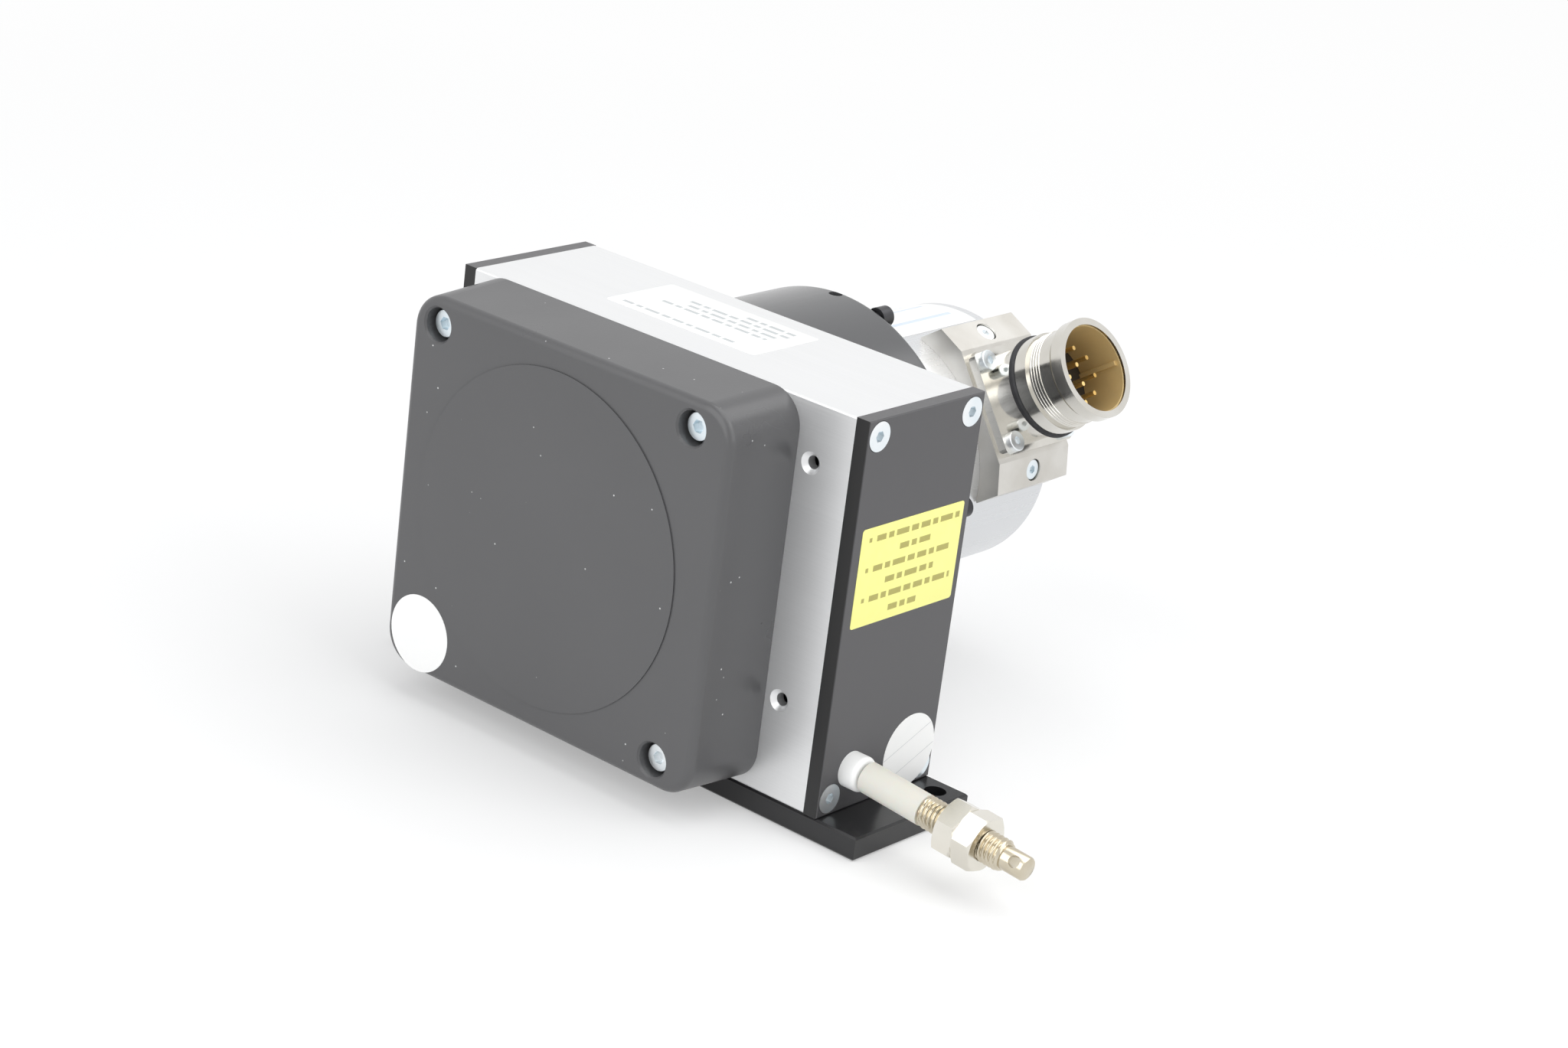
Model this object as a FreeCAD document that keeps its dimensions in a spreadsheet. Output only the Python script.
import FreeCAD, Part
import os
import Sketcher
from FreeCAD import Placement, Rotation, Vector

# Draw wire encoder: a wire drum in an extruded housing, a spring cover in front
# and a rotary encoder behind. Millimetres, +Z up, the wire leaves towards +X,
# the front with the spring cover faces -Y. The origin is the middle of the
# base plate's underside.

# Driving sizes
SIZES = (
    ("base_length", 157.0),
    ("base_depth", 43.0),
    ("base_thickness", 6.0),
    ("base_edge_chamfer", 0.5),
    ("base_hole_dia", 5.5),
    ("base_hole_inset", 5.8),
    ("base_hole_y", 15.8),
    ("base_screw_pitch_x", 90.0),
    ("base_screw_pitch_y", 24.0),
    ("housing_length", 124.0),
    ("housing_depth", 43.0),
    ("housing_height", 100.0),
    ("housing_edge_radius", 0.6),
    ("side_wall", 3.5),
    ("top_wall", 3.0),
    ("corner_boss_radius", 3.9),
    ("corner_screw_inset", 4.3),
    ("front_tap_dia", 3.3),
    ("front_tap_rim_dia", 5.6),
    ("front_tap_x", 50.4),
    ("front_tap_low", 25.0),
    ("front_tap_pitch", 60.0),
    ("end_plate_thickness", 4.0),
    ("end_plate_chamfer", 0.3),
    ("drum_axis_x", -9.0),
    ("drum_axis_height", 50.3),
    ("wire_wrap_radius", 39.79),
    ("wire_dia", 0.8),
    ("wire_pitch", 0.9),
    ("wire_turns", 16.0),
    ("wire_y", -10.8),
    ("drum_rim_wall", 3.4),
    ("drum_lip_height", 1.2),
    ("drum_lip_thickness", 1.2),
    ("drum_web_thickness", 3.0),
    ("drum_hub_radius", 12.0),
    ("drum_hub_length", 12.0),
    ("shaft_dia", 10.0),
    ("shaft_end_chamfer", 0.5),
    ("fit_gap", 0.02),
    ("run_gap", 0.04),
    ("swing_gap", 0.4),
    ("bearing_outer_dia", 26.0),
    ("bearing_width", 8.0),
    ("bearing_ring_wall", 2.4),
    ("bearing_shield_depth", 0.4),
    ("bearing_lip", 1.5),
    ("bearing_lip_step", 5.0),
    ("bearing_boss_wall", 3.5),
    ("bearing_plate_thickness", 3.0),
    ("bearing_plate_radius", 46.0),
    ("bearing_plate_screw_radius", 43.4),
    ("rear_flange_radius", 24.0),
    ("rear_flange_thickness", 3.0),
    ("rear_flange_screw_radius", 20.2),
    ("cover_width", 106.0),
    ("cover_height", 99.4),
    ("cover_depth", 23.0),
    ("cover_centre_x", -7.0),
    ("cover_centre_height", 50.5),
    ("cover_draft", 2.5),
    ("cover_corner_radius", 9.0),
    ("cover_edge_radius", 2.0),
    ("cover_wall", 3.0),
    ("cover_disc_radius", 42.5),
    ("cover_disc_step", 0.35),
    ("cover_screw_inset_x", 11.25),
    ("cover_screw_inset_z", 7.95),
    ("cover_boss_radius", 5.6),
    ("cover_bore_dia", 8.5),
    ("cover_bore_depth", 6.6),
    ("cover_bore_chamfer", 0.5),
    ("spring_ring_radius", 40.8),
    ("spring_ring_wall", 2.0),
    ("spring_width", 12.0),
    ("spring_thickness", 0.5),
    ("spring_coils", 11.0),
    ("arbor_radius", 8.0),
    ("arbor_length", 15.0),
    ("arbor_gap", 1.0),
    ("coupling_radius", 12.5),
    ("coupling_length", 22.0),
    ("coupling_slit", 1.2),
    ("coupling_core_radius", 8.5),
    ("coupling_clear", 1.6),
    ("shaft_end_gap", 4.0),
    ("adapter_radius", 47.0),
    ("adapter_length", 37.0),
    ("adapter_wall", 7.0),
    ("adapter_back", 6.0),
    ("adapter_edge_radius", 2.0),
    ("adapter_screw_radius", 44.9),
    ("adapter_screw_start", 3.0),
    ("adapter_screw_count", 5.0),
    ("pilot_radius", 25.0),
    ("grub_dia", 3.6),
    ("grub_length", 8.0),
    ("encoder_radius", 34.75),
    ("encoder_length", 54.0),
    ("encoder_flange_thickness", 8.0),
    ("encoder_spigot_length", 4.0),
    ("encoder_hub_length", 25.5),
    ("cap_wall", 2.2),
    ("cap_edge_radius", 2.0),
    ("disc_hub_radius", 8.0),
    ("disc_hub_length", 5.5),
    ("disc_radius", 24.0),
    ("disc_thickness", 1.2),
    ("board_gap", 3.0),
    ("board_thickness", 1.6),
    ("pillar_radius", 2.2),
    ("pillar_circle", 28.6),
    ("scan_head_width", 9.0),
    ("scan_head_gap", 0.6),
    ("connector_angle", 34.0),
    ("block_start", 23.0),
    ("block_length", 30.0),
    ("block_foot", 26.8),
    ("block_shoulder", 34.3),
    ("block_top", 38.2),
    ("block_half_width", 22.8),
    ("block_top_half_width", 15.5),
    ("block_bore_radius", 8.0),
    ("facet_seat_depth", 2.4),
    ("facet_head_height", 2.0),
    ("flange_half", 14.2),
    ("flange_thickness", 3.0),
    ("flange_corner_radius", 2.0),
    ("flange_screw_half", 11.0),
    ("flange_head_height", 2.0),
    ("barrel_radius", 12.4),
    ("neck_radius", 11.8),
    ("collar_radius", 13.2),
    ("rim_radius", 13.4),
    ("socket_radius", 11.6),
    ("barrel_root_length", 6.8),
    ("neck_length", 2.2),
    ("collar_length", 3.6),
    ("rim_length", 3.4),
    ("rim_groove_length", 1.2),
    ("barrel_length", 28.0),
    ("oring_thickness", 1.9),
    ("insert_step", 1.0),
    ("insert_bottom", 2.0),
    ("insert_face", 14.0),
    ("pin_length", 7.5),
    ("pin_radius", 0.6),
    ("pin_ring_radius", 7.4),
    ("pin_core_radius", 3.0),
    ("nozzle_radius", 4.5),
    ("nozzle_length", 5.0),
    ("nozzle_edge_radius", 1.4),
    ("nozzle_spigot_radius", 4.0),
    ("nozzle_inner_length", 1.0),
    ("nozzle_bore_radius", 0.9),
    ("nozzle_flare", 0.7),
    ("fitting_droop", 5.0),
    ("fitting_gap", 0.65),
    ("sleeve_radius", 3.95),
    ("sleeve_end", 18.5),
    ("sleeve_mouth_radius", 1.3),
    ("spigot_radius", 2.5),
    ("spigot_start", 4.0),
    ("stud_dia", 8.0),
    ("stud_thread_end", 43.0),
    ("stud_end", 49.5),
    ("tip_radius", 3.0),
    ("tip_chamfer", 0.6),
    ("eye_dia", 3.0),
    ("eye_station", 46.8),
    ("eye_turn", 33.0),
    ("nut_flats", 13.0),
    ("nut_thickness", 5.5),
    ("nut_chamfer", 0.9),
    ("inner_nut_start", 26.0),
    ("inner_nut_turn", 28.0),
    ("outer_nut_turn", 12.0),
    ("wire_start", 10.0),
    ("wire_end_gap", 0.3),
    ("m4_dia", 4.0),
    ("m4_countersunk_head_dia", 7.4),
    ("m4_countersunk_length", 12.0),
    ("m4_base_screw_length", 8.6),
    ("m4_cap_head_dia", 7.0),
    ("m4_cap_head_height", 4.0),
    ("m4_cap_length", 20.0),
    ("m4_key", 3.0),
    ("m4_countersunk_key", 2.5),
    ("m3_dia", 3.0),
    ("m3_cap_head_dia", 5.5),
    ("m3_cap_head_height", 4.2),
    ("m3_adapter_screw_length", 40.0),
    ("m3_countersunk_head_dia", 5.5),
    ("m3_flange_screw_length", 7.5),
    ("m3_block_screw_length", 5.6),
    ("m3_rear_screw_length", 6.0),
    ("m3_key", 2.5),
    ("m3_countersunk_key", 2.0),
    ("m25_dia", 2.5),
    ("m25_head_dia", 4.2),
    ("m25_length", 6.0),
    ("m25_key", 1.5),
    ("key_depth_share", 0.5),
    ("head_rim", 0.2),
    ("clearance_gap", 0.2),
)

doc = FreeCAD.newDocument("DrawWireEncoder")
sheet = doc.addObject("Spreadsheet::Sheet", "Sizes")
for row, (alias, number) in enumerate(SIZES, start=1):
    sheet.set("A%d" % row, alias)
    sheet.set("B%d" % row, str(number))
    sheet.setAlias("B%d" % row, alias)
doc.recompute()

# Directions: each turns a piece's own Z axis to where the piece points
UPWARD = Rotation()
TO_RIGHT = Rotation(Vector(1, 1, 1), 120)
TO_LEFT = Rotation(Vector(0, 1, 0), -90)
TO_FRONT = Rotation(Vector(1, 0, 0), 90)
TO_REAR = Rotation(Vector(1, 0, 0), -90)
DOWNWARD = Rotation(Vector(1, 0, 0), 180)

# Places that several pieces share, as expressions of the sizes
HOUSING_BOTTOM = "Sizes.base_thickness"
HOUSING_TOP = "(Sizes.base_thickness + Sizes.housing_height)"
HOUSING_FRONT = "(-Sizes.housing_depth/2)"
HOUSING_REAR = "(Sizes.housing_depth/2)"
HOUSING_END = "(Sizes.housing_length/2)"
PLATE_FACE = "(Sizes.housing_length/2 + Sizes.end_plate_thickness)"
AXIS_X = "Sizes.drum_axis_x"
AXIS_Z = "(Sizes.base_thickness + Sizes.drum_axis_height)"
WIRE_Z = "(Sizes.base_thickness + Sizes.drum_axis_height - Sizes.wire_wrap_radius)"
NOZZLE_END = "(Sizes.housing_length/2 + Sizes.end_plate_thickness + Sizes.nozzle_length)"
COVER_Z = "(Sizes.base_thickness + Sizes.cover_centre_height)"
ADAPTER_REAR = "(Sizes.housing_depth/2 + Sizes.adapter_length)"
FLANGE_REAR = "(Sizes.housing_depth/2 + Sizes.adapter_length + Sizes.encoder_flange_thickness)"
ENCODER_REAR = "(Sizes.housing_depth/2 + Sizes.adapter_length + Sizes.encoder_length)"
BLOCK_Y = "(Sizes.housing_depth/2 + Sizes.adapter_length + Sizes.block_start + Sizes.block_length/2)"
WINDING_HALF = "((Sizes.wire_turns + 1)*Sizes.wire_pitch/2)"
SHAFT_R = "(Sizes.shaft_dia/2)"
SHAFT_SEAT = "(Sizes.shaft_dia/2 + Sizes.fit_gap)"
SHAFT_RUN = "(Sizes.shaft_dia/2 + Sizes.run_gap)"
BEARING_R = "(Sizes.bearing_outer_dia/2)"
BEARING_SEAT = "(Sizes.bearing_outer_dia/2 + Sizes.fit_gap)"
BEARING_LIP_R = "(Sizes.bearing_outer_dia/2 - Sizes.bearing_lip_step)"
BOSS_R = "(Sizes.bearing_outer_dia/2 + Sizes.bearing_boss_wall)"

nodes = []


def size(alias):
    """One driving size as a plain number."""
    return float(getattr(sheet, alias))


def turned_to(piece, rotation, x="0", y="0", z="0"):
    """Put a piece's own origin at x, y, z and point its Z axis."""
    piece.Placement = Placement(Vector(0, 0, 0), rotation)
    piece.setExpression("Placement.Base.x", x)
    piece.setExpression("Placement.Base.y", y)
    piece.setExpression("Placement.Base.z", z)
    return piece


def keep(piece, label):
    """Name a finished piece and list it for the STEP files."""
    piece.Label = label
    nodes.append(piece)
    return piece


def new_body(name):
    """An empty body."""
    return doc.addObject("PartDesign::Body", name)


def plane_of(body, role):
    """One of the body's own origin planes or axes."""
    return next(item for item in body.Origin.OriginFeatures if item.Role == role)


def sketch(body, name, role, loops=(), circles=(), offset="0", turn=None):
    """Closed polygons and circles on an origin plane, every point bound to the sizes."""
    outline = body.newObject("Sketcher::SketchObject", name)
    outline.AttachmentSupport = (plane_of(body, role), [""])
    outline.MapMode = "FlatFace"
    geometry = []
    rules = []
    bound = []
    for loop in loops:
        first = len(geometry)
        count = len(loop)
        for i in range(count):
            start = Vector(i + 1, 0.1*i*i, 0)
            end = Vector(i + 2, 0.1*(i + 1)**2, 0)
            geometry.append(Part.LineSegment(start, end))
        for i in range(count):
            rules.append(Sketcher.Constraint("Coincident", first + i, 2, first + (i + 1) % count, 1))
        for i, point in enumerate(loop):
            for kind, value in zip(("DistanceX", "DistanceY"), point):
                bound.append((len(rules), value))
                rules.append(Sketcher.Constraint(kind, -1, 1, first + i, 1, float(i + 1)))
    for x, y, radius in circles:
        index = len(geometry)
        geometry.append(Part.Circle(Vector(index + 1, 1, 0), Vector(0, 0, 1), 2.0))
        for kind, value in (("DistanceX", x), ("DistanceY", y)):
            bound.append((len(rules), value))
            rules.append(Sketcher.Constraint(kind, -1, 1, index, 3, 1.0))
        bound.append((len(rules), radius))
        rules.append(Sketcher.Constraint("Radius", index, 2.0))
    outline.addGeometry(geometry, False)
    outline.addConstraint(rules)
    for index, value in bound:
        outline.setExpression("Constraints[%d]" % index, value)
    if turn is not None:
        outline.AttachmentOffset = Placement(Vector(0, 0, 0), Rotation(Vector(0, 1, 0), 1))
        outline.setExpression("AttachmentOffset.Rotation.Angle", turn)
    if offset != "0":
        lean = "0" if turn is None else turn
        outline.setExpression("AttachmentOffset.Base.x", "(%s)*sin(%s)" % (offset, lean))
        outline.setExpression("AttachmentOffset.Base.z", "(%s)*cos(%s)" % (offset, lean))
    doc.recompute()
    return outline


def pad(body, outline, length, both_ways=False, draft=None):
    """Raise a sketch to a solid."""
    feature = body.newObject("PartDesign::Pad", outline.Name + "_pad")
    feature.Profile = outline
    feature.setExpression("Length", length)
    feature.Midplane = both_ways
    if draft is not None:
        feature.setExpression("TaperAngle", draft)
    doc.recompute()
    return feature


def pocket(body, outline, depth=None, forward=False, both_ways=False):
    """Cut a sketch out of the body, right through where no depth is given."""
    before = body.Shape.Volume
    feature = body.newObject("PartDesign::Pocket", outline.Name + "_cut")
    feature.Profile = outline
    if depth is None:
        feature.Type = "ThroughAll"
    else:
        feature.setExpression("Length", depth)
    feature.Reversed = forward
    feature.Midplane = both_ways
    doc.recompute()
    if not feature.Shape.Volume < before:
        raise RuntimeError("%s cuts nothing" % feature.Name)
    return feature


def turn_solid(body, outline):
    """Turn a profile of (radius, station) once round the body's Z axis."""
    feature = body.newObject("PartDesign::Revolution", outline.Name + "_turned")
    feature.Profile = outline
    feature.ReferenceAxis = (outline, ["V_Axis"])
    feature.Angle = 360
    doc.recompute()
    return feature


def turned_body(name, profile):
    """A body turned from one profile of (radius, station) points."""
    body = new_body(name)
    turn_solid(body, sketch(body, name + "_profile", "XZ_Plane", [profile]))
    return body


def fillet(body, base, radius, wanted):
    """Round the edges of the last feature that a test picks."""
    edges = ["Edge%d" % (i + 1) for i, edge in enumerate(base.Shape.Edges) if wanted(edge)]
    feature = body.newObject("PartDesign::Fillet", base.Name + "_round")
    feature.Base = (base, edges)
    feature.setExpression("Radius", radius)
    doc.recompute()
    return feature


def chamfer(body, base, width, wanted):
    """Bevel the edges of the last feature that a test picks."""
    edges = ["Edge%d" % (i + 1) for i, edge in enumerate(base.Shape.Edges) if wanted(edge)]
    feature = body.newObject("PartDesign::Chamfer", base.Name + "_bevel")
    feature.Base = (base, edges)
    feature.setExpression("Size", width)
    doc.recompute()
    return feature


def is_ring(edge, radius, axis, station):
    """Whether an edge is a full circle of a radius, square to an axis at a station."""
    curve = edge.Curve
    if not isinstance(curve, Part.Circle) or abs(curve.Radius - radius) > 0.001:
        return False
    return abs(getattr(edge.BoundBox.Center, axis) - station) < 0.001 and edge.isClosed()


def runs_along(edge, axis):
    """Whether an edge is a straight line along an axis."""
    return isinstance(edge.Curve, Part.Line) and abs(getattr(edge.Curve.Direction, axis)) > 0.9


def rectangle(left, right, low, high):
    """The corners of a rectangle."""
    return [(left, low), (right, low), (right, high), (left, high)]


def hexagon(flats, turn="0"):
    """The corners of a hexagon of a width across flats."""
    corners = ["(%s + %d)" % (turn, 60*k) for k in range(6)]
    return [("%s/2/cos(30)*cos(%s)" % (flats, a), "%s/2/cos(30)*sin(%s)" % (flats, a)) for a in corners]


def grid(pitch_x, pitch_y, centre_x="0", centre_y="0"):
    """The four corners of a rectangle of holes."""
    return [("%s + %d*%s/2" % (centre_x, i, pitch_x), "%s + %d*%s/2" % (centre_y, k, pitch_y))
            for i in (-1, 1) for k in (-1, 1)]


def ring_of(count, radius, start="0"):
    """Points evenly spaced on a circle."""
    step = 360.0/count
    return [("%s*cos(%s + %.6f)" % (radius, start, step*k), "%s*sin(%s + %.6f)" % (radius, start, step*k))
            for k in range(count)]


def holes(points, radius):
    """Circles of one radius at some points."""
    return [(x, y, radius) for x, y in points]


# Screws: each kind is modelled once and placed as often as it is used
def key_socket(body, name, key, depth):
    """Cut the hexagon socket into a screw's head."""
    pocket(body, sketch(body, name + "_key", "XY_Plane", [hexagon(key)]), depth)


def countersunk_screw(name, dia, head_dia, length, key):
    """A countersunk screw pointing down from its head's face."""
    cone_end = "(-Sizes.head_rim - (%s - %s)/2)" % (head_dia, dia)
    body = turned_body(name, [
        ("0", "0"),
        ("%s/2" % head_dia, "0"),
        ("%s/2" % head_dia, "-Sizes.head_rim"),
        ("%s/2" % dia, cone_end),
        ("%s/2" % dia, "-%s" % length),
        ("0", "-%s" % length),
    ])
    key_socket(body, name, key, "(%s - %s)*Sizes.key_depth_share" % (head_dia, dia))
    return body


def cap_screw(name, dia, head_dia, head_height, length, key):
    """A cylinder head screw pointing down from under its head."""
    body = turned_body(name, [
        ("0", head_height),
        ("%s/2 - Sizes.head_rim" % head_dia, head_height),
        ("%s/2" % head_dia, "%s - Sizes.head_rim" % head_height),
        ("%s/2" % head_dia, "0"),
        ("%s/2" % dia, "0"),
        ("%s/2" % dia, "-%s" % length),
        ("0", "-%s" % length),
    ])
    outline = sketch(body, name + "_key", "XY_Plane", [hexagon(key)], offset=head_height)
    pocket(body, outline, "%s*Sizes.key_depth_share" % head_height)
    return body


def screw_set(label, screw, rotation, places):
    """Several copies of one screw, as one node of separate solids."""
    copies = []
    for number, (x, y, z) in enumerate(places, start=1):
        copy = doc.addObject("App::Link", "%s_%d" % (label, number))
        copy.LinkedObject = screw
        copy.LinkTransform = False
        turned_to(copy, rotation, x, y, z)
        copies.append(copy)
    group = doc.addObject("Part::Compound", label)
    group.Links = copies
    return keep(group, label)


def hole_radius(dia):
    """The radius of a hole that holds a screw."""
    return "(%s/2 + Sizes.fit_gap)" % dia


def countersink(body, name, dia, head_dia, axis, station):
    """Bevel the mouths of the screw holes of one size that end at a station."""
    radius = size(dia)/2 + size("fit_gap")
    width = "((Sizes.%s - Sizes.%s)/2 + Sizes.head_rim)" % (head_dia, dia)
    feature = chamfer(body, body.Tip, width, lambda edge: is_ring(edge, radius, axis, station))
    feature.Label = name
    return feature


# Places of the holes and screws
base_hole_points = [("%d*(Sizes.base_length/2 - Sizes.base_hole_inset)" % side, "Sizes.base_hole_y")
                    for side in (-1, 1)]
base_screw_points = grid("Sizes.base_screw_pitch_x", "Sizes.base_screw_pitch_y")
corner_points = grid("(Sizes.housing_depth - 2*Sizes.corner_screw_inset)",
                     "(Sizes.housing_height - 2*Sizes.corner_screw_inset)",
                     "0", "(Sizes.base_thickness + Sizes.housing_height/2)")
cover_screw_points = grid("(Sizes.cover_width - 2*Sizes.cover_screw_inset_x)",
                          "(Sizes.cover_height - 2*Sizes.cover_screw_inset_z)", AXIS_X, AXIS_Z)
FRONT_TAP_LOW = "(%s + Sizes.front_tap_low)" % HOUSING_BOTTOM
front_tap_points = [("Sizes.front_tap_x", FRONT_TAP_LOW),
                    ("Sizes.front_tap_x", "(%s + Sizes.front_tap_pitch)" % FRONT_TAP_LOW)]
adapter_ring = ring_of(int(size("adapter_screw_count")), "Sizes.adapter_screw_radius",
                       "Sizes.adapter_screw_start")
bearing_plate_ring = ring_of(4, "Sizes.bearing_plate_screw_radius", "45")
rear_flange_ring = ring_of(3, "Sizes.rear_flange_screw_radius", "90")


def about_axis(points):
    """Move points from the drum's axis to the housing's own plane."""
    return [("%s + %s" % (AXIS_X, x), "%s + %s" % (AXIS_Z, z)) for x, z in points]


# Base plate with its two fixing holes
def make_base_plate():
    """The black plate under the housing."""
    body = new_body("BasePlate")
    outline = sketch(body, "base_outline", "XY_Plane", [rectangle(
        "-Sizes.base_length/2", "Sizes.base_length/2", "-Sizes.base_depth/2", "Sizes.base_depth/2")])
    plate = pad(body, outline, "Sizes.base_thickness")
    chamfer(body, plate, "Sizes.base_edge_chamfer", lambda edge: not runs_along(edge, "z"))
    pocket(body, sketch(body, "base_fixing_holes", "XY_Plane",
                        circles=holes(base_hole_points, "Sizes.base_hole_dia/2")), forward=True)
    pocket(body, sketch(body, "base_screw_holes", "XY_Plane",
                        circles=holes(base_screw_points, hole_radius("Sizes.m4_dia"))), forward=True)
    countersink(body, "base_countersinks", "m4_dia", "m4_countersunk_head_dia", "z", 0.0)
    return keep(body, "base_plate")


# Extruded housing with four screw channels, open at both ends
def make_housing():
    """The aluminium profile that everything is screwed to."""
    body = new_body("Housing")
    outline = sketch(body, "profile_outline", "YZ_Plane", [rectangle(
        HOUSING_FRONT, HOUSING_REAR, HOUSING_BOTTOM, HOUSING_TOP)])
    block = pad(body, outline, "Sizes.housing_length", both_ways=True)
    fillet(body, block, "Sizes.housing_edge_radius", lambda edge: runs_along(edge, "x"))
    cavity = sketch(body, "profile_cavity", "YZ_Plane", [rectangle(
        HOUSING_FRONT + " + Sizes.side_wall", HOUSING_REAR + " - Sizes.side_wall",
        HOUSING_BOTTOM + " + Sizes.top_wall", HOUSING_TOP + " - Sizes.top_wall")])
    pocket(body, cavity, both_ways=True)
    bosses = sketch(body, "screw_channels", "YZ_Plane",
                    circles=holes(corner_points, "Sizes.corner_boss_radius"))
    pad(body, bosses, "Sizes.housing_length", both_ways=True)
    cores = sketch(body, "screw_cores", "YZ_Plane", circles=holes(corner_points, hole_radius("Sizes.m4_dia")))
    pocket(body, cores, both_ways=True)
    opening = sketch(body, "drum_opening", "XZ_Plane", circles=[
        (AXIS_X, AXIS_Z, "(%s)" % drum_lip_radius("Sizes.swing_gap"))])
    pocket(body, opening, forward=True)
    front = holes(cover_screw_points, hole_radius("Sizes.m4_dia"))
    front += holes(about_axis(bearing_plate_ring), hole_radius("Sizes.m25_dia"))
    pocket(body, sketch(body, "front_holes", "XZ_Plane", circles=front), forward=True)
    taps = sketch(body, "front_taps", "XZ_Plane", circles=holes(front_tap_points, "Sizes.front_tap_dia/2"))
    pocket(body, taps, forward=True)
    chamfer(body, body.Tip, "(Sizes.front_tap_rim_dia - Sizes.front_tap_dia)/2",
            lambda edge: is_ring(edge, size("front_tap_dia")/2, "y", -size("housing_depth")/2))
    rear = [(AXIS_X, AXIS_Z, BOSS_R + " + Sizes.fit_gap")]
    rear += holes(about_axis(rear_flange_ring), hole_radius("Sizes.m3_dia"))
    rear += holes(about_axis(adapter_ring), hole_radius("Sizes.m3_dia"))
    pocket(body, sketch(body, "rear_holes", "XZ_Plane", circles=rear))
    floor = sketch(body, "floor_holes", "XY_Plane", circles=holes(base_screw_points,
                                                                  hole_radius("Sizes.m4_dia")))
    pocket(body, floor, HOUSING_BOTTOM + " + Sizes.housing_height/2", forward=True)
    return keep(body, "housing_profile")


def drum_lip_radius(extra="0"):
    """The outer radius of the drum's lips."""
    return "Sizes.wire_wrap_radius + Sizes.drum_lip_height + %s" % extra


# End plates
def make_end_plate(name, label, rotation, with_outlet):
    """A plate that closes one end of the profile, its face outward."""
    body = new_body(name)
    outline = sketch(body, name + "_outline", "XY_Plane", [end_outline(rotation)])
    plate = pad(body, outline, "Sizes.end_plate_thickness")
    chamfer(body, plate, "Sizes.end_plate_chamfer", lambda edge: on_station(edge, "z",
                                                                            size("end_plate_thickness")))
    cuts = holes(end_points(rotation), hole_radius("Sizes.m4_dia"))
    if with_outlet:
        cuts.append(("Sizes.wire_y", WIRE_Z, "Sizes.nozzle_spigot_radius + Sizes.fit_gap"))
    pocket(body, sketch(body, name + "_holes", "XY_Plane", circles=cuts), forward=True)
    countersink(body, name + "_countersinks", "m4_dia", "m4_countersunk_head_dia", "z",
                size("end_plate_thickness"))
    turned_to(body, rotation, HOUSING_END if rotation is TO_RIGHT else "-" + HOUSING_END)
    return keep(body, label)


def end_outline(rotation):
    """The profile's outer rectangle in an end plate's own axes."""
    if rotation is TO_RIGHT:
        return rectangle(HOUSING_FRONT, HOUSING_REAR, HOUSING_BOTTOM, HOUSING_TOP)
    return rectangle(HOUSING_BOTTOM, HOUSING_TOP, HOUSING_FRONT, HOUSING_REAR)


def end_points(rotation):
    """The corner screws' places in an end plate's own axes."""
    if rotation is TO_RIGHT:
        return corner_points
    return [(z, y) for y, z in corner_points]


def on_station(edge, axis, station):
    """Whether an edge lies square to an axis at a station."""
    box = edge.BoundBox
    low, high = getattr(box, axis.upper() + "Min"), getattr(box, axis.upper() + "Max")
    return abs(low - station) < 0.01 and abs(high - station) < 0.01


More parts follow.
